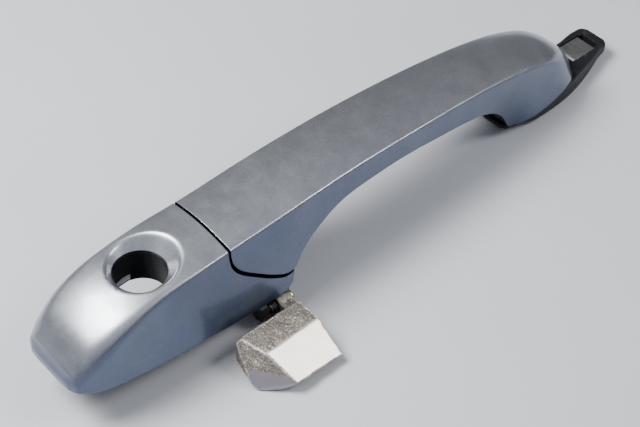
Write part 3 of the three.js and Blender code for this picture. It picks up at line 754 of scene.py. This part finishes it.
def screw(node, name, body):
    """Pan-head screw standing head down, with a hexagonal socket and a threaded shank."""
    low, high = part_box(node)
    x, y, _ = middle(node)
    z0, z1 = low.z / MM, high.z / MM
    head = (high.x - low.x) / 2 / MM
    tall = 0.6 * head
    shank = 0.52 * head
    profile = [(0, z0), (0.72 * head, z0), (0.9 * head, z0 + 0.12 * tall), (head, z0 + 0.4 * tall),
               (head, z0 + tall), (shank, z0 + tall)]
    pitch = 0.75
    z = z0 + tall + 0.3
    while z < z1 - shank - pitch:
        profile += [(0.86 * shank, z), (shank, z + 0.4 * pitch), (shank, z + 0.55 * pitch)]
        z += pitch
    profile += [(0.86 * shank, z1 - shank), (0, z1)]
    o = turned("screw", profile, x, y, 40)
    cut(o, post(0.42 * head, x, y, (z0 - 1, z0 + 0.6 * tall), 6))
    finish_piece(shade(soften(o, 0.08, 2)), name, STEEL, body, "plated_steel", node)


for node in ("sleeve_screw_1", "sleeve_screw_2", "carrier_screw_1", "carrier_screw_2"):
    screw(node, node.replace("screw", "fastener"), "cap")
for node in ("leg_screw_1", "leg_screw_2", "arm_screw_1", "arm_screw_2", "liner_screw_1", "liner_screw_2"):
    screw(node, node.replace("screw", "fastener"), "grip")

# Crank pin with a domed head.
pin_low, pin_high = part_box("crank_pin")
_, pin_y, pin_z = middle("crank_pin")
p0, p1 = pin_low.x / MM, pin_high.x / MM
pin = turned_x("pin", [(0, p0), (1.2, p0), (1.5, p0 + 0.3), (1.5, p1 - 1.4),
                       (2.8, p1 - 1.4), (2.8, p1 - 0.7), (2.3, p1 - 0.2), (1.2, p1), (0, p1)], pin_y, pin_z)
finish_piece(shade(pin), "crank_pivot_pin", YELLOW, "cap", "yellow_plated", "crank_pin")

# Torsion spring round the pin, in near-black steel as painted shade, so that it reads dark in the shaded gap
# under the cap.
coil_low, coil_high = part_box("crank_spring")
wire = 0.4
coil_radius = 2.5
coil_turns = 2.6
coil = bpy.data.curves.new("coil", "CURVE")
coil.dimensions = "3D"
coil.bevel_depth = wire * MM
coil.bevel_resolution = 4
path = coil.splines.new("POLY")
coil_steps = 120
path.points.add(coil_steps)
for i in range(coil_steps + 1):
    t = i / coil_steps
    angle = coil_turns * 2 * math.pi * t
    x = coil_low.x / MM + wire + t * ((coil_high.x - coil_low.x) / MM - 2 * wire)
    y = pin_y + coil_radius * math.cos(angle)
    z = pin_z + coil_radius * math.sin(angle)
    path.points[i].co = (x * MM, y * MM, z * MM, 1)
coil_object = bpy.data.objects.new("torsion_spring", coil)
bpy.context.scene.collection.objects.link(coil_object)
coil.use_fill_caps = True
finish_piece(coil_object, "torsion_spring", SHADE_DARK_STEEL, "cap", "plated_steel", "crank_spring")


# ---------------------------------------------------------------- counterweight crank

lever = soften(node_copy("crank_lever", "lever"), 0.35)
finish_piece(shade(lever), "crank_arm", CASTING, "crank", "cast_zinc", "crank_lever")

bush_low, bush_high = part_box("crank_bush")
b0, b1 = bush_low.x / MM, bush_high.x / MM
bush = turned_x("bush", [(0, b0), (2.4, b0), (2.4, b1), (0, b1)], pin_y, pin_z)
cut(bush, turned_x("tool", [(0, b0 - 1), (1.8, b0 - 1), (1.8, b1 + 1), (0, b1 + 1)], pin_y, pin_z))
finish_piece(shade(bush), "pivot_bush", NYLON, "crank", "black_nylon", "crank_bush")

rivet_low, rivet_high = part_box("weight_rivet")
r0, r1 = rivet_low.z / MM, rivet_high.z / MM
rivet_x, rivet_y, _ = middle("weight_rivet")
rivet_profile = [(0, r0), (1.1, r0), (1.5, r0 + 0.4), (1.5, r1 - 0.3), (1.2, r1), (0, r1)]
rivet = turned("rivet", rivet_profile, rivet_x, rivet_y, 40)
finish_piece(shade(rivet), "weight_peg", STEEL, "crank", "plated_steel", "weight_rivet")


def sharp_edges(o, angle):
    """Ends of the edges where the faces turn by more than the angle, in millimetres."""
    shape = bmesh.new()
    shape.from_mesh(o.data)
    bmesh.ops.remove_doubles(shape, verts=shape.verts, dist=1e-6)
    edges = [[np.array(v.co) / MM for v in e.verts] for e in shape.edges
             if len(e.link_faces) == 2 and e.calc_face_angle() > math.radians(angle)]
    shape.free()
    return edges


# Cast block: a grainy skin, with one face dressed flat and bright and the one below it half smooth; the half
# smooth faces are painted a dark purple-grey, as painted shade and painted reflection.
weight = node_copy("counterweight", "weight")
weight_edges = sharp_edges(weight, 25)
remesh = weight.modifiers.new("fine", "REMESH")
remesh.mode = "VOXEL"
remesh.voxel_size = 0.42 * MM
graph = bpy.context.evaluated_depsgraph_get()
weight.data = bpy.data.meshes.new_from_object(weight.evaluated_get(graph))
weight.modifiers.clear()
weight_low, weight_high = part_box("counterweight")
# A point on, and the outward normal of, each of the three smooth faces.
dressed_point = np.array([0, weight_low.y / MM + 12.6, weight_high.z / MM])
dressed_normal = np.array([0, -0.494, 0.870])
side_point = np.array([-3.4, -37.5, 0])
side_normal = np.array([-0.737, -0.498, 0.458])
lower_point = np.array([0.3, -49.5, -7.1])
lower_normal = np.array([-0.627, -0.745, -0.227])
count = len(weight.data.vertices)
co = np.zeros(count * 3)
no = np.zeros(count * 3)
weight.data.vertices.foreach_get("co", co)
weight.data.vertices.foreach_get("normal", no)
co, no = co.reshape(-1, 3) / MM, no.reshape(-1, 3)


def on_face(point, normal, reach, likeness):
    """1 for each vertex that lies on the plane and faces its way, fading out over reach."""
    return np.clip(1.6 - np.abs((co - point) @ normal) / reach, 0, 1) * (no @ normal > likeness)


below = np.clip((-5.2 - co[:, 2]) / 1.2, 0, 1)
lower_face = on_face(lower_point, lower_normal, 0.6, 0.8)
side_face = on_face(side_point, side_normal, 0.6, 0.8)
half_smooth_and_shade = np.maximum(lower_face, side_face) * below
worked = np.maximum(on_face(dressed_point, dressed_normal, 0.45, 0.9), 0.7 * half_smooth_and_shade)
worn = np.zeros(count)
for start, end in weight_edges:
    run = end - start
    along = np.clip((co - start) @ run / (run @ run), 0, 1)
    away = np.linalg.norm(co - start - along[:, None] * run, axis=1)
    worn = np.maximum(worn, np.clip(1.4 - away / 0.45, 0, 1))
bumps = np.array([noise.noise(Vector(p) * 0.9) + 0.6 * noise.noise(Vector(p) * 2.3) for p in co])
wide = np.array([noise.noise(Vector(p) * 0.22) for p in co])
shift = (0.20 * bumps + 0.30 * wide) * (1 - 0.95 * worked)
weight.data.vertices.foreach_set("co", ((co + no * shift[:, None]) * MM).ravel())
for name, values in (("worked", worked), ("worn", worn)):
    attribute = weight.data.attributes.new(name, "FLOAT", "POINT")
    attribute.data.foreach_set("value", values.astype(np.float32))
finish_piece(shade(weight, 60), "cast_weight", CASTING, "crank", "cast_zinc", "counterweight")


# ---------------------------------------------------------------- grip

grip_stations = steps(0.4, 170, 0.9) + steps(170.4, NOSE, 0.4)
grip = body_loft("grip", grip_stations, grip_underside, 0, 20, 40, 10)
combine(grip, above_seam(SEAM_SHIFT), "INTERSECT")
step_x = FOOT_REAR + WALL + 0.2
hollow_stations = steps(0.4 + WALL, step_x, 2) + steps(step_x + 0.05, NOSE - WALL - 1, 2)
grip_hollow = body_loft("hollow", hollow_stations, hollow_underside, WALL, 8, 12, 4)
combine(grip_hollow, above_seam(SEAM_SHIFT + WALL), "INTERSECT")
cut(grip, grip_hollow)
liner = duplicate(grip)


def window(inset):
    """Opening of the grip's underside that the liner fills."""
    low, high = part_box("grip_liner")
    half = WINDOW_HALF - inset
    return block((low.x / MM - GAP + inset, high.x / MM + GAP - inset), (-half, half), WINDOW_LEVEL)


cut(grip, window(0), block((12.7, 19.3), (7.6, 12.8), (0, 15)))
mark_seam_faces(grip, SEAM_SHIFT)
finish_piece(shade(grip), "grip_skin", PAINT, "grip", "paint", "grip_shell")
combine(liner, window(GAP), "INTERSECT")
for node in ("liner_screw_1", "liner_screw_2"):
    x = middle(node)[0]
    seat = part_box(node)[0].z / MM + 1.2
    cut(liner, post(2.8, x, 0, (seat - 4, seat), 48), post(1.6, x, 0, (seat - 4, seat + 9), 32))
finish_piece(shade(liner), "grip_inlay", PAINT, "grip", "paint", "grip_liner")

core = soften(node_copy("grip_core", "core"), 0.4)
finish_piece(shade(core), "core_beam", NYLON, "grip", "black_nylon", "grip_core")

leg = soften(node_copy("pull_leg", "leg"), 0.5)
finish_piece(shade(leg), "tail_leg", CASTING, "grip", "cast_zinc", "pull_leg")

for node, name in (("tail_bumper_near", "tail_stop_near"), ("tail_bumper_far", "tail_stop_far")):
    low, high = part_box(node)
    x, y, _ = middle(node)
    r = (high.x - low.x) / 2 / MM
    z0, z1 = low.z / MM, high.z / MM
    dome = [(0, z0), (0.5 * r, z0 + 0.12), (0.85 * r, z0 + 0.5), (r, z0 + 1.1), (r, z1), (0, z1)]
    finish_piece(shade(turned("stop", dome, x, y, 48), 50), name, RUBBER, "grip", "soft_black", node)

# Hook arm: the black base strip round the foot and the arm beyond it.
arm_near = spline([
    (ARM_ROOT, 12.5), (152, 13.6), (162, 14.0), (171, 13.5), (181, 11.9), (189, 9.8), (197, 7.6),
    (203, 6.3), (205.4, 5.6), (ARM_TIP, 4.2)])
arm_far = spline([
    (ARM_ROOT, 12.5), (152, 13.6), (162, 14.0), (171, 13.5), (178, 11.4), (183, 8.9), (188, 7.3),
    (194, 7.7), (199.6, 8.4), (203.6, 8.3), (205.6, 7.4), (ARM_TIP, 5.8)])
arm_top = spline([
    (ARM_ROOT, 0.8), (150, 1.6), (160, 3.4), (170, 5.2), (175, 5.65), (183, 5.65), (ARM_TIP, 5.7)])
arm_low = spline([
    (ARM_ROOT, -0.7), (153, -2.45), (170, ARM_BOTTOM), (186, ARM_BOTTOM), (192, -1.9), (200, 0.2),
    (ARM_TIP, 2.4)])


def arm_ring(x):
    """Round-cornered section of the arm at x."""
    near, far, top, low = arm_near(x), arm_far(x), arm_top(x), max(arm_low(x), ARM_BOTTOM)
    top = max(top, low + 0.3)
    r = min(0.9, 0.4 * (top - low))
    corners = [(far - r, low + r, -90), (far - r, top - r, 0), (r - near, top - r, 90),
               (r - near, low + r, 180)]
    ring = []
    for y, z, start in corners:
        for a in np.radians(np.linspace(start, start + 90, 6)):
            ring.append((x, y + r * math.cos(a), z + r * math.sin(a)))
    return ring


arm_stations = steps(ARM_ROOT, ARM_TIP - 1, 0.8) + steps(ARM_TIP - 0.8, ARM_TIP, 0.2)
arm = loft("arm", [arm_ring(x) for x in arm_stations])
join(arm, block((ARM_ROOT, 166), (-6.5, 6.5), (ARM_BOTTOM + 1, 13.4)))
plate_low, plate_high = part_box("wear_plate")
px0, px1, py0, py1 = plate_low.x / MM, plate_high.x / MM, plate_low.y / MM, plate_high.y / MM
cut(arm, block((px0 - 0.4, px1 + 0.8), (py0 - 0.3, py1 + 0.3), (3.2, 9)),
    block((px1 + 0.3, px1 + 2.4), (py0 + 0.5, py1 - 0.5), (1.9, 9)))
for node in ("arm_screw_1", "arm_screw_2"):
    cut(arm, post(3.2, middle(node)[0], 0, (-6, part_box(node)[0].z / MM + 1.6), 48))
finish_piece(shade(arm), "hook_arm", NYLON, "grip", "black_nylon", "pivot_arm")

plate = soften(node_copy("wear_plate", "plate"), 0.35, 4)
finish_piece(shade(plate), "bearing_plate", PLATE, "grip", "plate_metal", "wear_plate")

pad = soften(node_copy("foot_pad", "pad"), 0.3, 3)
finish_piece(shade(pad), "rest_pad", RUBBER, "grip", "soft_black", "foot_pad")


# ---------------------------------------------------------------- floor, light and camera

FLOOR_SLOPE = 0.050  # the object rests on its weight and on its hook arm
FLOOR_REACH = 4.0
FLOOR_DROP = 0.019
floor_z = CAD_BOX[0].z - 0.00005


def floor_look():
    look = Look("floor")
    soft = look.noise(6, 3)
    base = look.mix(look.span(soft, 0.3, 0.7), rgb(0.60, 0.62, 0.66), rgb(0.64, 0.66, 0.70))
    look.set(Base_Color=base, Roughness=0.55, Specular_IOR_Level=0.3)
    return look.material


floor_mesh = bpy.data.meshes.new("floor")
corners = [(x * FLOOR_REACH, y * FLOOR_REACH, 0) for x, y in ((-1, -1), (1, -1), (1, 1), (-1, 1))]
floor_mesh.from_pydata(corners, [], [(0, 1, 2, 3)])
floor = new_object("floor", floor_mesh)
floor.location = (0, 0, floor_z)
floor.rotation_euler = (0, -math.atan(FLOOR_SLOPE), 0)
floor_mesh.materials.append(floor_look())
sink = floor.constraints.new("TRANSFORM")  # the floor sinks as the weight swings down
sink.target = frame["bodies"]["crank"]
sink.map_from = "ROTATION"
sink.from_max_x_rot = CRANK_SWING
sink.map_to = "LOCATION"
sink.map_to_z_from = "X"
sink.to_max_z = -FLOOR_DROP
sink.mix_mode = "ADD"


LIGHT_AIM = Vector((0.0, 0, 0.02))


def area_light(name, direction, distance, size, power, tint):
    """Square light that looks at the aim point from a direction and a distance."""
    light = bpy.data.lights.new(name, "AREA")
    light.energy = power
    light.size = size
    light.color = tint
    o = bpy.data.objects.new(name, light)
    away = Vector(direction).normalized()
    o.location = LIGHT_AIM + away * distance
    o.rotation_euler = away.to_track_quat("Z", "Y").to_euler()
    bpy.context.scene.collection.objects.link(o)


area_light("key", (-0.42, 0.36, 0.84), 0.65, 0.32, 8.5, (1.0, 0.98, 0.95))
area_light("edge", (0.49, -0.48, 0.70), 1.5, 0.5, 9, (1.0, 0.98, 0.95))
area_light("fill", (-0.2, -0.9, 0.9), 1.6, 1.4, 1.2, (0.93, 0.96, 1.0))

world = bpy.data.worlds.new("studio")
bpy.context.scene.world = world
world.use_nodes = True
sky = world.node_tree
sky_direction = sky.nodes.new("ShaderNodeTexCoord").outputs["Generated"]
sky_dot = sky.nodes.new("ShaderNodeVectorMath")
sky_dot.operation = "DOT_PRODUCT"
sky_dot.inputs[1].default_value = (-0.45, -0.20, 0.87)
sky.links.new(sky_direction, sky_dot.inputs[0])
sky_span = sky.nodes.new("ShaderNodeMapRange")
sky_span.interpolation_type = "SMOOTHSTEP"
for key, number in (("From Min", 0.1), ("From Max", 0.95), ("To Min", 0.05), ("To Max", 0.42)):
    sky_span.inputs[key].default_value = number
sky.links.new(sky_dot.outputs["Value"], sky_span.inputs["Value"])
sky.links.new(sky_span.outputs[0], sky.nodes["Background"].inputs["Strength"])
sky.nodes["Background"].inputs["Color"].default_value = rgb(0.80, 0.86, 1.0)

# The camera stands at the picture's viewing angle. Its focal length is in pixels of the image's width.
CAMERA_PLACE = (-0.1948, -0.2565, 0.3596)
CAMERA_RIGHT = Vector((0.746, -0.665, 0.041))
CAMERA_UP = Vector((0.452, 0.549, 0.703))
CAMERA_BACK = Vector((-0.490, -0.506, 0.710))
FOCAL_LENGTH = 1402.3
IMAGE_WIDTH = 640
SENSOR_WIDTH = 36
camera_data = bpy.data.cameras.new("camera")
camera = bpy.data.objects.new("camera", camera_data)
bpy.context.scene.collection.objects.link(camera)
turn = Matrix((CAMERA_RIGHT, CAMERA_UP, CAMERA_BACK)).transposed().to_4x4()
camera.matrix_world = Matrix.Translation(CAMERA_PLACE) @ turn
camera_data.sensor_width = SENSOR_WIDTH
camera_data.lens = FOCAL_LENGTH * SENSOR_WIDTH / IMAGE_WIDTH
camera_data.clip_start = 0.01
bpy.context.scene.camera = camera
